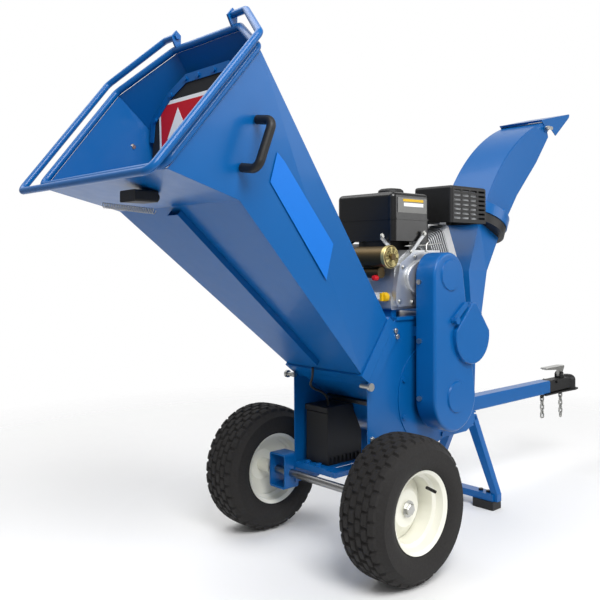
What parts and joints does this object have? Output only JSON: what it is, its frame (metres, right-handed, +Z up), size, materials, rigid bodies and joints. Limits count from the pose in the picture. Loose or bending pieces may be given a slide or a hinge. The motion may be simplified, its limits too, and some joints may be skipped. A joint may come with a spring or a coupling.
{
  "type": "wood chipper",
  "caption": "Towed petrol wood chipper: tilting funnel hopper with safety bar, belt-driven rotor, engine, turning discharge chute, two turf wheels, tow bar with ball coupler and stand.",
  "frame": {"origin": "on the ground, under the middle of the whole machine's bounding box", "axes": "+X to the belt guard's side, +Y towards the towing end, +Z up"},
  "size_m": [0.76, 2.3871, 1.5352],
  "materials": {
    "blue_paint": "glossy mid blue enamel",
    "cream_paint": "cream white enamel",
    "tyre": "turf tread",
    "zinc": "zinc plated",
    "steel": "machined steel",
    "black_paint": "satin black",
    "black_plastic": "fine grain",
    "alloy": "cast, bead blasted",
    "iron": "machined grooves",
    "rubber": "smooth",
    "bronze": "gold passivated",
    "yellow_plastic": "moulded"
  },
  "bodies": {
    "chassis": {"air_filter": "black_plastic", "axle": "steel", "battery_box": "black_plastic", "battery_lead": "rubber", "bearings": "steel", "bed_knife": "steel", "chassis_rails": "blue_paint", "coupler_body": "zinc", "cylinder": "alloy", "discharge_duct": "blue_paint", "drive_belt": "rubber", "duct_collar": "black_paint", "engine_block": "alloy", "engine_plate": "blue_paint", "engine_side_cover": "alloy", "frame_bolts": "zinc", "fuel_tank": "black_paint", "guard_back": "blue_paint", "guard_cover": "blue_paint", "inlet_frame": "blue_paint", "muffler": "alloy", "muffler_guard": "black_paint", "oil_dipstick": "yellow_plastic", "recoil_housing": "black_plastic", "rotor_housing": "blue_paint", "side_covers": "blue_paint", "side_plates": "blue_paint", "starter_motor": "bronze", "tensioner_cap": "blue_paint", "tow_bar": "blue_paint"},
    "wheel_left": {"tyre_left": "tyre", "rim_left": "cream_paint"},
    "wheel_right": {"tyre_right": "tyre", "rim_right": "cream_paint"},
    "hopper": {"hopper_flange": "blue_paint", "hopper_floor": "blue_paint", "hopper_handle": "black_plastic", "hopper_rim": "blue_paint", "hopper_roof": "blue_paint", "hopper_sides": "blue_paint", "curtain": "rubber", "stop_switch": "black_plastic", "return_spring": "zinc"},
    "safety_bar": {"safety_bar": "blue_paint"},
    "rotor": {"rotor": "steel", "rotor_knives": "steel", "rotor_pulley": "iron"},
    "crankshaft": {"engine_pulley": "iron"},
    "idler": {"idler": "iron"},
    "chute": {"chute": "blue_paint", "chute_ring": "blue_paint", "deflector_bolts": "zinc"},
    "deflector": {"deflector": "blue_paint"},
    "stand": {"stand_legs": "blue_paint", "stand_feet": "blue_paint"},
    "latch": {"coupler_latch": "zinc"},
    "chain_front": {"chain_front": "zinc"},
    "chain_rear": {"chain_rear": "zinc"},
    "recoil_handle": {"recoil_handle": "black_plastic"},
    "fuel_cap": {"fuel_cap": "black_plastic"}
  },
  "joints": [
    {"name": "wheel_left_spin", "type": "hinge", "parent": "chassis", "child": "wheel_left", "pos_m": [-0.3, -0.3544, 0.203], "axis": [1, 0, 0], "continuous": true},
    {"name": "wheel_right_spin", "type": "hinge", "parent": "chassis", "child": "wheel_right", "pos_m": [0.3, -0.3544, 0.203], "axis": [1, 0, 0], "continuous": true},
    {"name": "hopper_hinge", "type": "hinge", "parent": "chassis", "child": "hopper", "pos_m": [0, -0.3534, 0.521], "axis": [1, 0, 0], "range_deg": [0, 40], "deforming": ["battery_lead"]},
    {"name": "safety_bar_swing", "type": "hinge", "parent": "hopper", "child": "safety_bar", "pos_m": [0, -0.8202, 1.5176], "axis": [1, 0, 0], "range_deg": [-3, 3]},
    {"name": "rotor_spin", "type": "hinge", "parent": "chassis", "child": "rotor", "pos_m": [0, -0.0444, 0.465], "axis": [1, 0, 0], "continuous": true},
    {"name": "crank_spin", "type": "hinge", "parent": "chassis", "child": "crankshaft", "pos_m": [0, -0.0754, 0.838], "axis": [1, 0, 0], "continuous": true},
    {"name": "idler_swing", "type": "hinge", "parent": "chassis", "child": "idler", "pos_m": [0.222, 0.0556, 0.592], "axis": [1, 0, 0], "range_deg": [-10, 0]},
    {"name": "chute_turn", "type": "hinge", "parent": "chassis", "child": "chute", "pos_m": [0, 0.4306, 1.036], "axis": [0, 0.4226, 0.9063], "continuous": true},
    {"name": "deflector_tilt", "type": "hinge", "parent": "chute", "child": "deflector", "pos_m": [0, 0.8036, 1.42], "axis": [1, 0, 0], "range_deg": [-35, 0]},
    {"name": "stand_fold", "type": "hinge", "parent": "chassis", "child": "stand", "pos_m": [0, 0.3616, 0.312], "axis": [1, 0, 0], "range_deg": [0, 80]},
    {"name": "latch_lift", "type": "hinge", "parent": "chassis", "child": "latch", "pos_m": [0, 1.0756, 0.394], "axis": [1, 0, 0], "range_deg": [-60, 0]},
    {"name": "chain_front_swing", "type": "hinge", "parent": "chassis", "child": "chain_front", "pos_m": [0, 0.9296, 0.315], "axis": [1, 0, 0], "range_deg": [-55, 55]},
    {"name": "chain_rear_swing", "type": "hinge", "parent": "chassis", "child": "chain_rear", "pos_m": [0, 1.0836, 0.315], "axis": [1, 0, 0], "range_deg": [-55, 55]},
    {"name": "recoil_pull", "type": "slide", "parent": "chassis", "child": "recoil_handle", "axis": [-1, 0, 0], "range_m": [0, 0.35], "stiffness_N_per_m": 12},
    {"name": "cap_turn", "type": "hinge", "parent": "chassis", "child": "fuel_cap", "pos_m": [0.056, -0.1144, 1.117], "axis": [0, 0, 1], "range_deg": [0, 90]}
  ],
  "couplings": [
    {"joint": "crank_spin", "follows": "rotor_spin", "ratio": 1.5}
  ]
}
